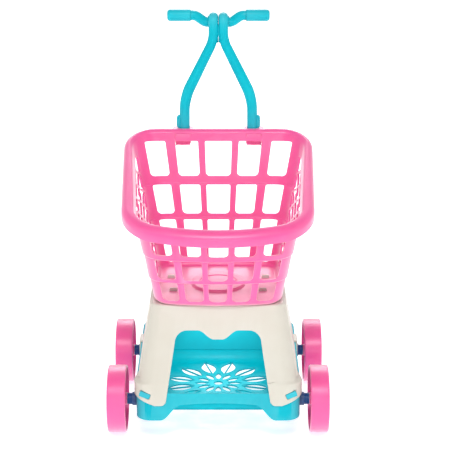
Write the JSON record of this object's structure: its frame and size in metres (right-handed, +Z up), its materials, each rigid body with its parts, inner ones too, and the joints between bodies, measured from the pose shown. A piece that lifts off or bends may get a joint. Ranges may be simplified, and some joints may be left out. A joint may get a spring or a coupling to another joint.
{
  "type": "toy shopping trolley",
  "caption": "Child's toy shopping trolley: lattice basket on a hollow stand, low tray with a flower cut-out, looped push handle and cup wheels.",
  "frame": {"origin": "centre of the footprint on the floor, below the middle of the overall box", "axes": "+Z up, the front of the trolley faces -Y and its handle stands at +Y, +X completes the right-handed frame"},
  "size_m": [0.307, 0.3084, 0.5554],
  "materials": {
    "pink_plastic": "smooth moulded, semi-gloss",
    "wheel_plastic": "smooth moulded, semi-gloss",
    "turquoise_plastic": "smooth moulded, semi-gloss",
    "ivory_plastic": "smooth moulded, satin",
    "bush_plastic": "smooth moulded, semi-gloss",
    "cap_plastic": "smooth moulded, semi-gloss",
    "axle_steel": "drawn rod"
  },
  "bodies": {
    "trolley": {"basket": "pink_plastic", "stand": "ivory_plastic", "tray": "turquoise_plastic", "handle_left": "turquoise_plastic", "handle_right": "turquoise_plastic", "grip_left": "turquoise_plastic", "grip_right": "turquoise_plastic", "axle_front": "axle_steel", "axle_rear": "axle_steel", "axle_bush_front_left": "bush_plastic", "axle_cap_front_left": "cap_plastic", "axle_bush_front_right": "bush_plastic", "axle_cap_front_right": "cap_plastic", "axle_bush_rear_left": "bush_plastic", "axle_cap_rear_left": "cap_plastic", "axle_bush_rear_right": "bush_plastic", "axle_cap_rear_right": "cap_plastic"},
    "front_left_wheel": {"wheel_front_left": "wheel_plastic"},
    "front_right_wheel": {"wheel_front_right": "wheel_plastic"},
    "rear_left_wheel": {"wheel_rear_left": "wheel_plastic"},
    "rear_right_wheel": {"wheel_rear_right": "wheel_plastic"}
  },
  "joints": [
    {"name": "front_left_wheel_spin", "type": "hinge", "parent": "trolley", "child": "front_left_wheel", "pos_m": [-0.1405, -0.0822, 0.047], "axis": [1, 0, 0], "continuous": true},
    {"name": "front_right_wheel_spin", "type": "hinge", "parent": "trolley", "child": "front_right_wheel", "pos_m": [0.1405, -0.0822, 0.047], "axis": [1, 0, 0], "continuous": true},
    {"name": "rear_left_wheel_spin", "type": "hinge", "parent": "trolley", "child": "rear_left_wheel", "pos_m": [-0.1405, 0.0928, 0.047], "axis": [1, 0, 0], "continuous": true},
    {"name": "rear_right_wheel_spin", "type": "hinge", "parent": "trolley", "child": "rear_right_wheel", "pos_m": [0.1405, 0.0928, 0.047], "axis": [1, 0, 0], "continuous": true}
  ]
}
